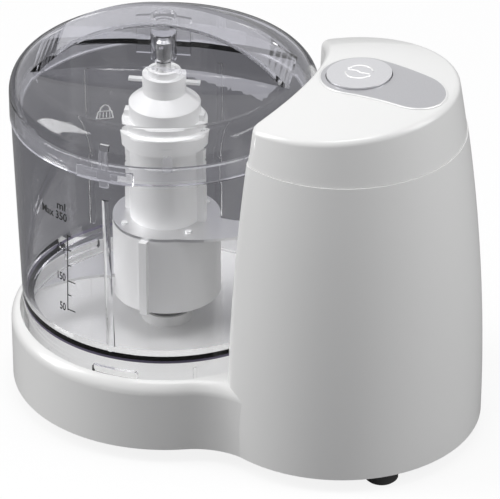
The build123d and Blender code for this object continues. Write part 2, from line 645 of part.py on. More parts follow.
def make_blade_hub(blades):
    """White carrier: drum, barrel, wide band, shoulder and cupped top, hollow for the bowl's tube."""
    hub = turned([(0, DRUM_LOW), (DRUM_R, DRUM_LOW), (DRUM_R, DRUM_TOP), (HUB_R, DRUM_TOP), (HUB_R, HUB_GROOVE),
                  (HUB_R - 0.9, HUB_GROOVE), (HUB_R - 0.9, HUB_BAND_LOW), (HUB_BAND_R, HUB_BAND_LOW),
                  (HUB_BAND_R, HUB_BAND_TOP - 0.8), (HUB_BAND_R - 0.8, HUB_BAND_TOP), (HUB_R, HUB_BAND_TOP),
                  (HUB_R, HUB_SHOULDER - 0.5), (HUB_R - 0.5, HUB_SHOULDER), (HUB_NECK_R, HUB_NECK_LOW),
                  (HUB_NECK_R, HUB_COLLAR_TOP), (HUB_TOP_R, HUB_COLLAR_TOP), (HUB_TOP_R, HUB_TOP), (0, HUB_TOP)],
                 BOWL_X)
    for side in (0, 180):
        rib = block(BOWL_X + HUB_BAND_R - 2.5, 0, DRUM_TOP + BLADE_T, HUB_GROOVE, 5.0, 3.0)
        ear = block(BOWL_X + EAR_R - 3, 0, 133.2, 134.2, 6.0, 2.4)
        stud = block(BOWL_X + HUB_BAND_R - 2.2, 0, HUB_BAND_TOP - 1, HUB_BAND_TOP + 2.4, 2.4, 4.0)
        hub += at_angle(rib, side, BOWL_X) + at_angle(ear + stud, side + EAR_ANGLE, BOWL_X)
    hub += at_angle(block(BOWL_X + DRUM_R, 0, DRUM_LOW, DRUM_TOP, 5.0, 3.0), FIN_ANGLE, BOWL_X)
    hub -= rod(BOWL_X, 0, DRUM_LOW - 1, HEX_LOW + 0.5, TUBE_R + 0.8)
    hub -= ring(BOWL_X, 0, DRUM_LOW - 1, DRUM_TOP - 4, DRUM_R - 2.0, TUBE_R + 2.8)
    socket = RegularPolygon(HEX_FLATS / 2 + 0.15, 6, major_radius=False)
    hub -= Pos(BOWL_X, 0, HEX_LOW) * extrude(socket, PIN_LOW - 1 - HEX_LOW)
    hub -= rod(BOWL_X, 0, PIN_LOW - 1.7, PIN_LOW + 1.5, PIN_HEAD_R + RUN)
    hub -= rod(BOWL_X, 0, PIN_LOW, HUB_TOP + 1, PIN_R + RUN)
    hub -= rod(BOWL_X, 0, HUB_COLLAR_TOP, HUB_TOP + 1, HUB_TOP_R - 1.5)
    for blade in blades:
        hub -= blade
    for pin in hub_pins():
        hub += pin
    return hub


def make_blade_pin():
    """Steel pin with a head captured inside the hub; it runs in the lid's bearing."""
    return turned([(0, PIN_LOW - 1.6), (PIN_HEAD_R, PIN_LOW - 1.6), (PIN_HEAD_R, PIN_LOW + 1.4),
                   (PIN_R, PIN_LOW + 1.4), (PIN_R, PIN_TOP - 1), (PIN_R - 1, PIN_TOP), (0, PIN_TOP)], BOWL_X)


def lid_form(inset):
    """Turned body of the lid: upright skirt, round shoulder and shallow dome."""
    r = LID_R - inset
    top = LID_SHOULDER_TOP - inset
    bend = LID_SHOULDER_R - inset
    low = SHOULDER_Z + 0.6 if inset == 0 else SHOULDER_Z - 2
    side = Line((r, low), (r, top - bend))
    middle = bend * (1 - math.sqrt(0.5))
    shoulder = ThreePointArc((r, top - bend), (r - middle, top - middle), (r - bend, top))
    dome = ThreePointArc((r - bend, top), ((r - bend) / 2, top + 0.72 * (LID_DOME_TOP - LID_SHOULDER_TOP)),
                         (0, LID_DOME_TOP - inset))
    rest = Polyline((0, LID_DOME_TOP - inset), (0, low), (r, low))
    return Pos(BOWL_X, 0, 0) * revolve(Plane.XZ * make_face([side, shoulder, dome, rest]), Axis.Z, 360)


def grip_form(inset):
    """Arched bar across the lid, with sloping flanks."""
    span = GRIP_SPAN - inset
    low = SHOULDER_Z + 8
    arch = ThreePointArc((-span, GRIP_END_Z - inset), (0, GRIP_TOP - inset), (span, GRIP_END_Z - inset))
    foot = Polyline((span, GRIP_END_Z - inset), (span, low), (-span, low), (-span, GRIP_END_Z - inset))
    side = Plane.XZ.offset(-20) * make_face([arch, foot])
    bar = extrude(side, 40)
    top, base = GRIP_TOP_HALF - inset, GRIP_FOOT_HALF - inset
    section = make_face(Polyline((-base, low), (-base, LID_SHOULDER_TOP), (-top, GRIP_TOP), (top, GRIP_TOP),
                                 (base, LID_SHOULDER_TOP), (base, low), close=True))
    prism = Plane.YZ.offset(-60) * section
    bar = bar & extrude(prism, 120)
    return bar


def lid_clip():
    """Raised loop over the lid's shoulder with a framed bar across the skirt, pointing along +X."""
    skin = lid_form(-CLIP_PROUD) - lid_form(0) - rod(BOWL_X, 0, 100, SHOULDER_Z + 2, LID_R)
    loop = skin & block(BOWL_X + 60, 0, SHOULDER_Z - 1.8, SHOULDER_Z + 15.6, 20, 3.6)
    loop -= block(BOWL_X + 60.4, 0, SHOULDER_Z + 1, SHOULDER_Z + 13.5, 1.1, 1.4)
    low, high = SHOULDER_Z + 0.6, SHOULDER_Z + 5.7
    band = ring(BOWL_X, 0, low, high, LID_R + CLIP_PROUD, LID_R - 0.2)
    band &= block(BOWL_X + 60, 0, low, high, 20, 22.6)
    for side in (-1, 1):
        pocket = block(BOWL_X + LID_R + 1.2, side * 6.5, low + 1.2, high - 1.2, 2.0, 7.4)
        band -= pocket
    return loop + band


def make_lid():
    """Clear lid with a hollow grip bar, a bearing boss with a cross rib and two bayonet clips."""
    grip_out = at_angle(Pos(BOWL_X, 0, 0) * grip_form(0), GRIP_ANGLE, BOWL_X)
    grip_in = at_angle(Pos(BOWL_X, 0, 0) * grip_form(LID_WALL), GRIP_ANGLE, BOWL_X)
    shell = (lid_form(0) + (grip_out & rod(BOWL_X, 0, 100, 170, LID_R - 3))) - lid_form(LID_WALL) - grip_in
    boss = rod(BOWL_X, 0, BOSS_LOW, BOSS_TOP, BOSS_R)
    fins = block(BOWL_X, 0, 146.5, 163, 20.8, 1.6) + block(BOWL_X, 0, 146.5, 152, 1.6, 15.0)
    shell += at_angle(boss + (fins & (Pos(BOWL_X, 0, 0) * grip_form(0))), GRIP_ANGLE, BOWL_X)
    for angle in CLIP_ANGLES:
        shell += at_angle(lid_clip(), angle, BOWL_X)
        tab = lid_form(-0.7) - lid_form(0)
        tab &= block(BOWL_X + 60, 0, SHOULDER_Z + 7, SHOULDER_Z + 15.6, 20, 3.8)
        shell += at_angle(tab, angle + 23.2, BOWL_X)
    return shell - rod(BOWL_X, 0, BOSS_LOW - 4, BOSS_LOW + 11, 3.95)


def make_lid_bush():
    """Bearing sleeve in the lid's boss."""
    return ring(BOWL_X, 0, BOSS_LOW + 0.4, BOSS_LOW + 10.4, 3.9, PIN_R + RUN)


# ---- build every piece -------------------------------------------------------------------------------
upper_blade = make_blade(DRUM_TOP, DRUM_R, HUB_R, BLADE_ANGLE)
for hub_pin in hub_pins():
    upper_blade -= hub_pin
lower_blade = make_blade(LOWER_BLADE_Z, DRUM_R - 1.0, TUBE_R + 1.8, LOWER_BLADE_ANGLE)

pieces = {
    "base_housing": make_base_housing,
    "tower_cap": make_tower_cap,
    "control_plate": make_control_plate,
    "bottom_cover": make_bottom_cover,
    "rubber_feet": make_rubber_feet,
    "cover_screws": make_cover_screws,
    "cap_screws": make_cap_screws,
    "drive_belt": make_drive_belt,
    "driven_pulley": make_driven_pulley,
    "motor_pulley": make_motor_pulley,
    "drive_spindle": make_drive_spindle,
    "spindle_clip": make_spindle_clip,
    "spindle_bearing_upper": lambda: bearing(BOWL_X, SEAT_Z - WALL - 1, SPINDLE_BOSS_TOP, 7.5, SPINDLE_R + RUN),
    "spindle_bearing_lower": lambda: bearing(BOWL_X, FOOT_H + WALL, FOOT_H + WALL + 2.2, 7.0, SPINDLE_R + RUN),
    "spindle_seal": make_spindle_seal,
    "field_core": make_field_core,
    "field_coils": make_field_coils,
    "motor_bracket_lower": lambda: make_bracket(36, 39, 7.0, "lower"),
    "motor_bracket_upper": lambda: make_bracket(105, 108, 7.0, "upper"),
    "motor_bearing_lower": lambda: bearing(MOTOR_X, 35, 40, 7.0, SHAFT_R + RUN),
    "motor_bearing_upper": lambda: bearing(MOTOR_X, 104.5, 109, 7.0, SHAFT_R + RUN),
    "motor_screws": make_motor_screws,
    "motor_mounts": make_motor_mounts,
    "brush_holders": make_brush_holders,
    "carbon_brushes": make_carbon_brushes,
    "motor_shaft": make_motor_shaft,
    "armature_core": make_armature_core,
    "armature_winding": make_armature_winding,
    "commutator": make_commutator,
    "cooling_fan": make_cooling_fan,
    "circuit_board": make_circuit_board,
    "board_posts": make_board_posts,
    "pulse_switch": make_pulse_switch,
    "capacitor": make_capacitor,
    "interlock_switch": make_interlock_switch,
    "interlock_plunger": make_interlock_plunger,
    "cord_inlet_bush": make_cord_inlet_bush,
    "cord_clamp": make_cord_clamp,
    "pulse_button": make_pulse_button,
    "button_spring": make_button_spring,
    "bowl": make_bowl,
    "bowl_bush": make_bowl_bush,
    "blade_hub": lambda: make_blade_hub((upper_blade, lower_blade)),
    "upper_blade": lambda: upper_blade,
    "lower_blade": lambda: lower_blade,
    "blade_pin": make_blade_pin,
    "lid": make_lid,
    "lid_bush": make_lid_bush,
}

for piece_name, maker in pieces.items():
    save(maker(), piece_name)
    print(piece_name)
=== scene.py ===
import math

import bmesh
import bpy
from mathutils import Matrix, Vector


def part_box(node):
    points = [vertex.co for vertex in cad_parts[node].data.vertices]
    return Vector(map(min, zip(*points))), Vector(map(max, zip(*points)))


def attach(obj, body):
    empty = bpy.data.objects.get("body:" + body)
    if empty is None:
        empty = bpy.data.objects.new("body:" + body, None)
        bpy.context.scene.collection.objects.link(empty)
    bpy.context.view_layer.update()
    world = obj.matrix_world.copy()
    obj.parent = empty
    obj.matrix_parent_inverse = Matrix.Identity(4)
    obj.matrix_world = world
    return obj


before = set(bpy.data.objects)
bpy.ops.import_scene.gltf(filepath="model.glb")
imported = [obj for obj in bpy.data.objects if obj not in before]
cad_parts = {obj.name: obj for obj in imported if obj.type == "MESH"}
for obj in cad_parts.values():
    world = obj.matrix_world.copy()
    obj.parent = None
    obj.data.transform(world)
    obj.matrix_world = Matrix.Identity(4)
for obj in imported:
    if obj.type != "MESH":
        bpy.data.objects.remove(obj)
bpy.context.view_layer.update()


# ---- Camera ---------------------------------------------------------------------------------------
# A long lens looks down on the appliance from the front, a little to the right of the bowl.
# Angles are in degrees and lengths in metres.
VIEW_AZIMUTH = 21.63
VIEW_ELEVATION = 30.72
VIEW_DISTANCE = 1.54
VIEW_TARGET = Vector((0.0054, -0.0093, 0.0730))
LENS = 288.0

azimuth = math.radians(VIEW_AZIMUTH)
elevation = math.radians(VIEW_ELEVATION)
sight = Vector((-math.sin(azimuth) * math.cos(elevation), math.cos(azimuth) * math.cos(elevation),
                -math.sin(elevation)))
camera = bpy.data.objects.new("camera", bpy.data.cameras.new("camera"))
camera.data.lens = LENS
camera.data.clip_end = 20
camera.location = VIEW_TARGET - VIEW_DISTANCE * sight
camera.rotation_euler = sight.to_track_quat("-Z", "Y").to_euler()
bpy.context.scene.collection.objects.link(camera)
bpy.context.scene.camera = camera
bpy.context.scene.view_settings.view_transform = "Standard"


# ---- Studio ---------------------------------------------------------------------------------------
# A pale floor, a white backdrop and three soft boxes. What the clear plastic shows is a darker grey
# room, as on a product table with black flags round it, and the floor glows white towards the viewer.
class Wire:
    """One socket of a node tree. Operators between wires and numbers add Math nodes."""

    def __init__(self, tree, socket):
        self.tree = tree
        self.socket = socket

    def node(self, kind, settings=None, inputs=None, output=0):
        return add_node(self.tree, kind, settings, inputs, output)

    def math(self, operation, first, second=None):
        inputs = {0: first} if second is None else {0: first, 1: second}
        return self.node("ShaderNodeMath", {"operation": operation}, inputs)

    def __add__(self, other):
        return self.math("ADD", self, other)

    def __radd__(self, other):
        return self.math("ADD", other, self)

    def __sub__(self, other):
        return self.math("SUBTRACT", self, other)

    def __rsub__(self, other):
        return self.math("SUBTRACT", other, self)

    def __mul__(self, other):
        return self.math("MULTIPLY", self, other)

    def __rmul__(self, other):
        return self.math("MULTIPLY", other, self)

    def clamp(self):
        return self.node("ShaderNodeClamp", None, {0: self})


def add_node(tree, kind, settings=None, inputs=None, output=0):
    """Any node: its settings first, then the values or wires of its inputs."""
    made = tree.nodes.new(kind)
    for name, value in (settings or {}).items():
        if name == "stops":
            ramp = made.color_ramp
            while len(ramp.elements) < len(value):
                ramp.elements.new(0.5)
            for element, (place, colour) in zip(ramp.elements, value):
                element.position = place
                element.color = (*colour, 1.0)
        else:
            setattr(made, name, value)
    for name, value in (inputs or {}).items():
        if isinstance(value, Wire):
            tree.links.new(value.socket, made.inputs[name])
        else:
            made.inputs[name].default_value = value
    return Wire(tree, made.outputs[output])


def new_material(name):
    material = bpy.data.materials.new(name)
    material.use_nodes = True
    material.node_tree.nodes.clear()
    return material


def finish_material(material, shader):
    out = material.node_tree.nodes.new("ShaderNodeOutputMaterial")
    material.node_tree.links.new(shader.socket, out.inputs["Surface"])
    return material


def rgb(grey, green=None, blue=None):
    return (grey, grey if green is None else green, grey if blue is None else blue, 1.0)


def mix_colour(tree, factor, first, second):
    return add_node(tree, "ShaderNodeMix", {"data_type": "RGBA"}, {0: factor, 6: first, 7: second}, 2)


def mix_shader(tree, factor, first, second):
    return add_node(tree, "ShaderNodeMixShader", None, {0: factor, 1: first, 2: second})


def ray(tree, kind):
    return add_node(tree, "ShaderNodeLightPath", output=f"Is {kind} Ray")


AIR = rgb(0.30, 0.30, 0.31)
MIRRORED = rgb(0.9)
BEHIND_CLEAR = rgb(0.46, 0.46, 0.50)
world = bpy.data.worlds.new("studio")
world.use_nodes = True
world.node_tree.nodes.clear()
tree = world.node_tree
room = mix_colour(tree, ray(tree, "Glossy"), AIR, MIRRORED)
room = mix_colour(tree, ray(tree, "Transmission"), room, BEHIND_CLEAR)
room = mix_colour(tree, ray(tree, "Camera"), room, rgb(1.0))
light = add_node(tree, "ShaderNodeBackground", None, {"Color": room, "Strength": 1.0})
tree.links.new(light.socket, tree.nodes.new("ShaderNodeOutputWorld").inputs["Surface"])
bpy.context.scene.world = world

FLOOR_SIZE = 12.0
FLOOR_LIT = rgb(0.26)
# Painted shade: the floor seen through the clear plastic is painted darker than the floor seen directly.
FLOOR_SHADE_BEHIND_CLEAR = rgb(0.125, 0.125, 0.135)
FLOOR_SEEN = rgb(0.95)
FLOOR_GLOW = 0.86
mesh = bpy.data.meshes.new("floor")
half = FLOOR_SIZE / 2
corners = [(-half, -half, 0), (half, -half, 0), (half, half, 0), (-half, half, 0)]
mesh.from_pydata(corners, [], [(0, 1, 2, 3)])
floor = bpy.data.objects.new("floor", mesh)
bpy.context.scene.collection.objects.link(floor)
floor_paint = new_material("pale_floor")
tree = floor_paint.node_tree
tone = mix_colour(tree, ray(tree, "Transmission"), FLOOR_LIT, FLOOR_SHADE_BEHIND_CLEAR)
tone = mix_colour(tree, ray(tree, "Camera"), tone, FLOOR_SEEN)
matt = add_node(tree, "ShaderNodeBsdfDiffuse", None, {"Color": tone})
lit = add_node(tree, "ShaderNodeEmission", None, {"Color": rgb(1.0), "Strength": 1.0})
glow = ray(tree, "Camera") * FLOOR_GLOW
finish_material(floor_paint, mix_shader(tree, glow, matt, lit))
floor.data.materials.append(floor_paint)

OBJECT_MIDDLE = Vector((0, 0, 0.08))


def soft_box(name, azimuth, elevation, distance, width, height, power):
    """Area lamp at that azimuth and elevation round the object, facing its middle."""
    lamp = bpy.data.lights.new(name, "AREA")
    lamp.shape = "RECTANGLE"
    lamp.size, lamp.size_y, lamp.energy = width, height, power
    box = bpy.data.objects.new(name, lamp)
    a, e = math.radians(azimuth), math.radians(elevation)
    away = Vector((math.sin(a) * math.cos(e), -math.cos(a) * math.cos(e), math.sin(e)))
    box.location = OBJECT_MIDDLE + distance * away
    box.rotation_euler = (-away).to_track_quat("-Z", "Y").to_euler()
    bpy.context.scene.collection.objects.link(box)


soft_box("top_box", 20, 80, 1.5, 0.8, 0.5, 7)
soft_box("left_box", -68, 30, 1.6, 0.6, 1.4, 17)
soft_box("right_box", 100, 28, 1.6, 0.7, 1.4, 11)


# ---- Base housing and cap -------------------------------------------------------------------------
# Plinth and tower are one glossy ABS moulding, with the cap snapped on above a fine joint line.
# The moulding has faint waviness and a very fine spark-eroded grain under its gloss.
def principled(tree, **inputs):
    """Principled shader. An underscore in an input's name stands for a space."""
    named = {name.replace("_", " "): value for name, value in inputs.items()}
    return add_node(tree, "ShaderNodeBsdfPrincipled", None, named)


def object_point(tree):
    return add_node(tree, "ShaderNodeTexCoord", output="Object")


def noise(tree, scale, detail=2.0):
    return add_node(tree, "ShaderNodeTexNoise", None,
                    {"Vector": object_point(tree), "Scale": scale, "Detail": detail}, 0)


def bump(tree, height, strength, distance):
    return add_node(tree, "ShaderNodeBump", None,
                    {"Height": height, "Strength": strength, "Distance": distance})


def moulded(name, light, dark, roughness, gloss, wave=0.00003, grain=900.0):
    """Moulded plastic: slight tone drift, uneven gloss, fine grain."""
    material = new_material(name)
    tree = material.node_tree
    drift = noise(tree, 9.0)
    fine = noise(tree, grain, 3.0)
    height = drift + 0.12 * fine
    shader = principled(tree, Base_Color=mix_colour(tree, drift, dark, light),
                        Roughness=roughness + 0.08 * (fine - 0.5), IOR=1.52, Coat_Weight=gloss,
                        Coat_Roughness=0.06, Normal=bump(tree, height, 0.25, wave))
    return finish_material(material, shader)


def paint(node, material):
    """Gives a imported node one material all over."""
    node_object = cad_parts[node]
    node_object.data.materials.clear()
    node_object.data.materials.append(material)


casing = moulded("white_casing", rgb(0.86, 0.86, 0.85), rgb(0.82, 0.82, 0.81), 0.34, 0.35)
paint("base_housing", casing)
paint("tower_cap", casing)


# ---- Control plate and pulse button ---------------------------------------------------------------
# A silver-lacquered moulding is set flush in the crown, and the round pulse key sits in its wide end.
# The key has a paler lacquer of the same kind.
def lacquer(name, light, dark):
    """Metallic lacquer with fine flake."""
    material = new_material(name)
    tree = material.node_tree
    flake = noise(tree, 2600.0, 2.0)
    tone = mix_colour(tree, flake, dark, light)
    shader = principled(tree, Base_Color=tone, Metallic=0.55, Roughness=0.36 + 0.1 * (flake - 0.5),
                        Coat_Weight=0.3, Coat_Roughness=0.15, Normal=bump(tree, flake, 0.15, 0.00002))
    return finish_material(material, shader)


paint("control_plate", lacquer("silver_lacquer", rgb(0.54, 0.54, 0.56), rgb(0.46, 0.46, 0.48)))
paint("pulse_button", lacquer("key_lacquer", rgb(0.72, 0.72, 0.74), rgb(0.64, 0.64, 0.66)))


# ---- Plate bead and key symbol ----------------------------------------------------------------------
# A thin bright bead, lacquered with the plate, frames it. On the key two arcs and a bent bar stand
# proud as a moulded power symbol. Lengths are in metres.
CROWN_CENTRE = Vector((0.052, 0.0, 0.009))
CROWN_R = 0.144
KEY_CENTRE = Vector((0.0456, 0.0, 0.0))
PLATE_TURN = math.radians(-7.0)


def on_crown(x, y, proud=0.0):
    """Point on the crowned top, a little proud of it."""
    reach = (CROWN_R + proud) ** 2 - (x - CROWN_CENTRE.x) ** 2 - (y - CROWN_CENTRE.y) ** 2
    return Vector((x, y, CROWN_CENTRE.z + math.sqrt(reach)))


def new_piece(name, bm, material, body):
    """Turns a bmesh into a named piece that rides on a body."""
    bmesh.ops.recalc_face_normals(bm, faces=bm.faces)
    mesh = bpy.data.meshes.new(name)
    bm.to_mesh(mesh)
    bm.free()
    piece = bpy.data.objects.new(name, mesh)
    bpy.context.scene.collection.objects.link(piece)
    mesh.materials.append(material)
    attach(piece, body)
    return piece


def bead(bm, path, width, height, up, closed):
    """Low half-round bead along a path of points; up gives the surface's direction at a point."""
    count = len(path)
    rows = []
    for i, point in enumerate(path):
        before = path[i - 1] if closed or i else point
        after = path[(i + 1) % count] if closed or i < count - 1 else point
        along = (after - before).normalized()
        out = up(point)
        side = along.cross(out).normalized()
        row = []
        for step in range(7):
            turn = math.pi * step / 6
            across, lift = width / 2 * math.cos(turn), height * math.sin(turn)
            row.append(bm.verts.new(point + side * across + out * lift))
        row.append(bm.verts.new(point - out * height * 0.6))
        rows.append(row)
    for i in range(count if closed else count - 1):
        first, second = rows[i], rows[(i + 1) % count]
        for j in range(8):
            k = (j + 1) % 8
            bm.faces.new((first[j], first[k], second[k], second[j]))
    if not closed:
        bm.faces.new(rows[0])
        bm.faces.new(list(reversed(rows[-1])))


def crown_up(point):
    return (point - CROWN_CENTRE).normalized()


def convex_outline(points):
    """Corners of the hull round flat points, in order."""
    points = sorted(points)
    chains = []
    for run in (points, list(reversed(points))):
        chain = []
        for p in run:
            while len(chain) > 1 and ((chain[-1][0] - chain[-2][0]) * (p[1] - chain[-2][1])
                                      - (chain[-1][1] - chain[-2][1]) * (p[0] - chain[-2][0])) <= 0:
                chain.pop()
            chain.append(p)
        chains.append(chain[:-1])
    return chains[0] + chains[1]


def plate_outline(grow):
    """The plate's edge in plan: a round end about the key and a smaller one."""
    points = []
    for x, r in ((0.0, 0.0144), (0.0224, 0.0123)):
        for i in range(72):
            turn = 2 * math.pi * i / 72
            points.append((x + (r + grow) * math.cos(turn), (r + grow) * math.sin(turn)))
    corners = convex_outline(points)
    c, s = math.cos(PLATE_TURN), math.sin(PLATE_TURN)
    return [(KEY_CENTRE.x + x * c - y * s, x * s + y * c) for x, y in corners]


def even_steps(points, step):
    """Closed flat line cut into equal steps."""
    line = []
    for i, (x0, y0) in enumerate(points):
        x1, y1 = points[(i + 1) % len(points)]
        cuts = max(1, round(math.hypot(x1 - x0, y1 - y0) / step))
        line += [(x0 + (x1 - x0) * k / cuts, y0 + (y1 - y0) * k / cuts) for k in range(cuts)]
    return line


BEAD_OUTSIDE = 0.0003
BEAD_W, BEAD_H = 0.0009, 0.0003
bm = bmesh.new()
edge_line = even_steps(plate_outline(BEAD_OUTSIDE), 0.0012)
bead(bm, [on_crown(x, y, 0.0001) for x, y in edge_line], BEAD_W, BEAD_H, crown_up, True)
bright_bead = lacquer("bright_bead", rgb(0.86), rgb(0.8))
new_piece("plate_bead", bm, bright_bead, "base")

SYMBOL_R = 0.0051
SYMBOL_W, SYMBOL_H = 0.0008, 0.0003
KEY_PROUD = 0.0011
bm = bmesh.new()
for start, end in ((18, 162), (198, 342)):
    arc = []
    for i in range(37):
        turn = math.radians(start + (end - start) * i / 36)
        x, y = SYMBOL_R * math.cos(turn), SYMBOL_R * math.sin(turn)
        arc.append(on_crown(KEY_CENTRE.x + x, y, KEY_PROUD))
    bead(bm, arc, SYMBOL_W, SYMBOL_H, crown_up, False)
bar = [(-0.0046, 0.0006), (-0.001, 0.0006), (0.001, -0.0006), (0.0046, -0.0006)]
bar_line = [on_crown(KEY_CENTRE.x + x, y, KEY_PROUD) for x, y in bar]
bead(bm, bar_line, SYMBOL_W, SYMBOL_H, crown_up, False)
new_piece("key_symbol", bm, bright_bead, "pulse_button")


# ---- Bowl and lid -----------------------------------------------------------------------------------
# Both are clear SAN mouldings about 2 mm thick, polished inside and out, with a faint violet edge tint.
def clear_plastic(name, tint, shade, roughness=0.02, haze=0.0, cloud=rgb(0.8)):
    """Refracting plastic that lets lamp light straight through; haze is its share of milky scatter."""
    material = new_material(name)
    tree = material.node_tree
    shader = principled(tree, Base_Color=tint, Roughness=roughness, IOR=1.40, Transmission_Weight=1.0)
    passing = add_node(tree, "ShaderNodeBsdfTransparent", None, {"Color": shade})
    lamp_ray = (ray(tree, "Shadow") + ray(tree, "Diffuse")).clamp()
    if haze:
        milk = add_node(tree, "ShaderNodeBsdfDiffuse", None, {"Color": cloud})
        shader = mix_shader(tree, haze, shader, milk)
    return finish_material(material, mix_shader(tree, lamp_ray, shader, passing))


clear = clear_plastic("clear_san", rgb(0.985, 0.985, 0.995), rgb(0.99))
# Paler milky clear plastic for thicker parts; its haze is partly painted highlight.
thick_highlit = clear_plastic("thick_highlit_san", rgb(0.97, 0.97, 0.985), rgb(0.97), 0.03, 0.26, rgb(0.80, 0.80, 0.87))
for name in ("bowl", "lid", "lid_bush"):
    paint(name, clear)

# The lid's grip, centre boss and side clips and both rims are thicker plastic, and look paler.
# On the grip, boss and clips the milky haze is painted highlight, standing in for the lamps' bright
# reflections on their walls. The rim of the bowl's floor gathers the violet tint; its dark milky layer
# is painted shade for the dark band that refraction makes at the floor's edge.
rim = clear_plastic("rim_san", rgb(0.98, 0.98, 0.99), rgb(0.97), 0.03, 0.14, rgb(0.8, 0.8, 0.86))
# Dark violet milky layer: partly the plastic's violet tint, partly painted shade for the dark refraction
# band.
violet_and_shade = clear_plastic("violet_and_shade_san", rgb(0.9, 0.9, 0.95), rgb(0.95), 0.05, 0.8, rgb(0.20, 0.18, 0.26))
BOWL_X = (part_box("bowl_bush")[0].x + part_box("bowl_bush")[1].x) / 2


def paint_part(node, material, wanted):
    """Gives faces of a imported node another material. The test gets the face, its reach from the
    bowl's axis, and its lowest and highest point."""
    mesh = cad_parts[node].data
    mesh.materials.append(material)
    for face in mesh.polygons:
        heights = [mesh.vertices[i].co.z for i in face.vertices]
        if wanted(face, math.hypot(face.center.x - BOWL_X, face.center.y), min(heights), max(heights)):
            face.material_index = len(mesh.materials) - 1


GRIP_HALF, GRIP_LOW = 0.0135, 0.142
BOSS_R = 0.016
LID_OUTSIDE = 0.0598
LID_RIM_TOP = 0.1260
BOWL_RIM_LOW = 0.1195
FLOOR_EDGE_LOW, FLOOR_EDGE_TOP, FLOOR_EDGE_R = 0.0405, 0.0438, 0.0535


# Lid faces whose haze is painted highlight: the clips, the boss and the grip's top.
def thick_highlit_in_lid(face, reach, low, high):
    on_grip = abs(face.center.y) < GRIP_HALF and face.center.z > GRIP_LOW and face.normal.z > 0.2
    return reach > LID_OUTSIDE or (reach < BOSS_R and high < GRIP_LOW) or on_grip


# Faces at the edge of the bowl's floor that get the painted shade.
def shaded_floor_edge(face, reach, low, high):
    return low > FLOOR_EDGE_LOW and high < FLOOR_EDGE_TOP and reach > FLOOR_EDGE_R


paint_part("lid", rim, lambda face, reach, low, high: high < LID_RIM_TOP)
paint_part("lid", thick_highlit, thick_highlit_in_lid)
paint_part("bowl", rim, lambda face, reach, low, high: low > BOWL_RIM_LOW)
paint_part("bowl", violet_and_shade, shaded_floor_edge)


# ---- Bowl scale ---------------------------------------------------------------------------------------
# Pad-printed in black on the wall's outside: an upright line with a tick for each 50 ml, three of the
# figures, and the unit and the highest filling above it.
WALL_LOW_R, WALL_HIGH_R = 0.0568, 0.0590
WALL_LOW_Z, WALL_HIGH_Z = 0.0435, 0.1212
INK = 0.00005
MARKS = {50: 0.0589, 100: 0.0656, 150: 0.0720, 200: 0.0792, 250: 0.0861, 300: 0.0925}


def wall_radius(z):
    return WALL_LOW_R + (WALL_HIGH_R - WALL_LOW_R) * (z - WALL_LOW_Z) / (WALL_HIGH_Z - WALL_LOW_Z)


def scale_angle(z):
    """Where the scale's line crosses that height, in radians round the bowl."""
    lowest, highest = MARKS[50], MARKS[300]
    return math.radians(-108.5 + 1.7 * (z - lowest) / (highest - lowest))


def on_wall(along, z, proud):
    """Point that far along the wall from the scale's line, at that height."""
    radius = wall_radius(z)
    turn = scale_angle(z) + along / radius
    return Vector((BOWL_X + (radius + proud) * math.cos(turn), (radius + proud) * math.sin(turn), z))


def ink_strip(bm, along0, along1, z0, z1, cuts):
    """Thin strip of ink, closed all round, that follows the wall."""
    rows = []
    for i in range(cuts + 1):
        along = along0 + (along1 - along0) * i / cuts
        rows.append([bm.verts.new(on_wall(along, z, proud)) for z, proud in
                     ((z0, -INK), (z1, -INK), (z1, INK), (z0, INK))])
    for first, second in zip(rows, rows[1:]):
        for j in range(4):
            bm.faces.new((first[j], first[(j + 1) % 4], second[(j + 1) % 4], second[j]))
    bm.faces.new(list(reversed(rows[0])))
    bm.faces.new(rows[-1])


def ink_text(bm, text, height, stretch, along, z, align):
    """Lettering bent round the wall, with its baseline at that height."""
    curve = bpy.data.curves.new("lettering", "FONT")
    curve.body = text
    curve.size = height / 0.7
    curve.align_x = align
    curve.extrude = INK
    curve.offset = 0.00006
    lettering = bpy.data.objects.new("lettering", curve)
    flat = bpy.data.meshes.new_from_object(lettering)
    letters = bmesh.new()
    letters.from_mesh(flat)
    long_edges = [edge for edge in letters.edges if edge.calc_length() > 0.0012]
    bmesh.ops.subdivide_edges(letters, edges=long_edges, cuts=2)
    for vertex in letters.verts:
        x, y, proud = vertex.co
        vertex.co = on_wall(along + x * stretch, z + y, proud)
    bent = bpy.data.meshes.new("bent")
    letters.to_mesh(bent)
    letters.free()
    bm.from_mesh(bent)
    for data in (flat, bent):
        bpy.data.meshes.remove(data)
    bpy.data.objects.remove(lettering)


bm = bmesh.new()
LINE_W = 0.00045
lowest, highest = MARKS[50], MARKS[300]
steps = 24
for i in range(steps):
    z0 = lowest - LINE_W + (highest - lowest + 2 * LINE_W) * i / steps
    z1 = lowest - LINE_W + (highest - lowest + 2 * LINE_W) * (i + 1) / steps
    ink_strip(bm, -LINE_W / 2, LINE_W / 2, z0, z1, 1)
for volume, z in MARKS.items():
    reach = 0.0038 if volume in (50, 150) else 0.0018
    ink_strip(bm, 0, reach, z - LINE_W / 2, z + LINE_W / 2, 6)
FIGURE_H = 0.0034
for text, z in (("50", 0.0576), ("150", 0.0712), ("250", 0.0849)):
    ink_text(bm, text, FIGURE_H, 0.66, -0.0011, z, "RIGHT")
ink_text(bm, "ml", FIGURE_H, 1.0, -0.0008, 0.1030, "RIGHT")
ink_text(bm, "Max 350", FIGURE_H, 0.82, -0.0003, 0.0984, "RIGHT")
black_ink = moulded("black_ink", rgb(0.02), rgb(0.012), 0.5, 0.0, grain=1500.0)
new_piece("bowl_scale", bm, black_ink, "bowl")


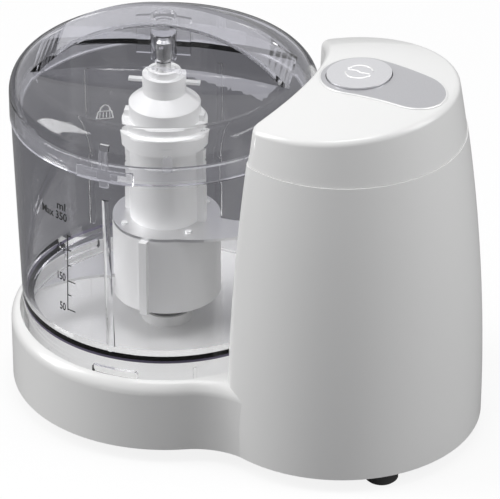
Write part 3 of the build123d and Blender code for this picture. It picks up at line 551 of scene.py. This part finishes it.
# ---- Lid padlock --------------------------------------------------------------------------------------
# A small padlock outline, moulded proud on the lid's dome with a frosted face, marks the locked place.
# It follows the dome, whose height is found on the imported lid.
LOCK_CENTRE = (-0.0383, -0.0457)
LOCK_TURN = math.radians(21.6)
LID_LOW_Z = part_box("lid")[0].z


def dome_height(x, y):
    """Height of the lid's outside at that place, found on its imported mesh."""
    hit, point, normal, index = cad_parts["lid"].ray_cast(Vector((x, y, 0.3)), Vector((0, 0, -1)))
    return point.z if hit else LID_LOW_Z


def on_dome(x, y):
    c, s = math.cos(LOCK_TURN), math.sin(LOCK_TURN)
    px, py = LOCK_CENTRE[0] + x * c - y * s, LOCK_CENTRE[1] + x * s + y * c
    return Vector((px, py, dome_height(px, py)))


def straight_up(point):
    return Vector((0, 0, 1))


BODY_TOP = 0.0016
SHACKLE_HALF, SHACKLE_H = 0.0019, 0.0038
bm = bmesh.new()
body_line = [(-0.0032, -0.0026), (0.0032, -0.0026), (0.0025, BODY_TOP), (-0.0025, BODY_TOP)]
bead(bm, [on_dome(x, y) for x, y in even_steps(body_line, 0.0008)], 0.0005, 0.0002, straight_up, True)
shackle = []
for angle in range(0, 181, 12):
    turn = math.radians(angle)
    shackle.append(on_dome(SHACKLE_HALF * math.cos(turn), BODY_TOP + SHACKLE_H * math.sin(turn)))
bead(bm, shackle, 0.0006, 0.0002, straight_up, False)
for i in range(4):
    x = -0.0018 + 0.0012 * i
    bead(bm, [on_dome(x * 1.05, -0.0020), on_dome(x, 0.0010)], 0.0003, 0.0001, straight_up, False)
frosted = clear_plastic("frosted_san", rgb(0.97), rgb(0.9), 0.5)
new_piece("lid_padlock", bm, frosted, "lid")


# ---- Blade hub ---------------------------------------------------------------------------------------
# White acetal carrier, satin, moulded round two stainless blades, with a steel pin on top.
acetal = moulded("white_acetal", rgb(0.93), rgb(0.90), 0.42, 0.1, grain=500.0)
for name in ("blade_hub", "bowl_bush"):
    paint(name, acetal)


def brushed(name, light, dark, roughness, scale=(150.0, 4000.0, 4000.0), metal=1.0):
    """Ground metal with fine lines along one direction."""
    material = new_material(name)
    tree = material.node_tree
    place = add_node(tree, "ShaderNodeMapping", None, {"Vector": object_point(tree), "Scale": scale})
    lines = add_node(tree, "ShaderNodeTexNoise", None, {"Vector": place, "Scale": 1.0, "Detail": 4.0})
    shader = principled(tree, Base_Color=mix_colour(tree, lines, dark, light), Metallic=metal,
                        Roughness=roughness + 0.12 * (lines - 0.5),
                        Normal=bump(tree, lines, 0.2, 0.00002))
    return finish_material(material, shader)


blade_steel = brushed("blade_steel", rgb(0.80), rgb(0.74), 0.34, metal=0.85)
for name in ("upper_blade", "lower_blade", "blade_pin"):
    paint(name, blade_steel)
# Painted highlight: the blades' sloping edge faces get a much paler, less metallic steel so they show as
# bright lines; the ground bevel itself is real.
for name in ("upper_blade", "lower_blade"):
    paint_part(name, brushed("ground_" + name, rgb(0.97), rgb(0.92), 0.3, metal=0.4),
               lambda face, reach, low, high: reach > 0.026 and abs(face.normal.z) < 0.985)


# ---- Feet, cover and inner parts --------------------------------------------------------------------
# Rubber feet and a moulded grey cover close the underside. Inside are a wound motor with steel
# laminations and bronze bearings, a rubber belt, plated steel fixings and a small circuit board.
rubber = moulded("black_rubber", rgb(0.035), rgb(0.02), 0.7, 0.0, grain=1500.0)
for name in ("rubber_feet", "motor_mounts", "spindle_seal", "cord_inlet_bush", "drive_belt"):
    paint(name, rubber)
grey_plastic = moulded("grey_plastic", rgb(0.5), rgb(0.45), 0.45, 0.0)
for name in ("bottom_cover", "driven_pulley", "cord_clamp"):
    paint(name, grey_plastic)
steel = brushed("plated_steel", rgb(0.6), rgb(0.5), 0.3)
for name in ("cover_screws", "cap_screws", "motor_screws", "spindle_clip", "drive_spindle", "motor_shaft",
             "motor_pulley", "button_spring", "motor_bracket_lower", "motor_bracket_upper"):
    paint(name, steel)
laminations = brushed("laminations", rgb(0.24), rgb(0.12), 0.5, (50.0, 50.0, 3000.0))
for name in ("field_core", "armature_core"):
    paint(name, laminations)
copper = brushed("copper_wire", rgb(0.62, 0.27, 0.12), rgb(0.35, 0.13, 0.05), 0.35,
                 (80.0, 80.0, 2500.0))
for name in ("field_coils", "armature_winding", "commutator"):
    paint(name, copper)
bronze = brushed("sintered_bronze", rgb(0.55, 0.38, 0.18), rgb(0.4, 0.27, 0.12), 0.5,
                 (600.0, 600.0, 600.0))
for name in ("spindle_bearing_upper", "spindle_bearing_lower", "motor_bearing_lower", "motor_bearing_upper"):
    paint(name, bronze)
black_plastic = moulded("black_plastic", rgb(0.05), rgb(0.03), 0.45, 0.0)
for name in ("brush_holders", "cooling_fan", "pulse_switch", "interlock_switch", "carbon_brushes"):
    paint(name, black_plastic)
inner_white = moulded("inner_white", rgb(0.8), rgb(0.74), 0.5, 0.0)
for name in ("board_posts", "interlock_plunger"):
    paint(name, inner_white)
paint("capacitor", moulded("yellow_case", rgb(0.75, 0.5, 0.06), rgb(0.65, 0.42, 0.04), 0.4, 0.0))
paint("circuit_board", moulded("board_laminate", rgb(0.05, 0.22, 0.09), rgb(0.03, 0.16, 0.06), 0.4, 0.2))
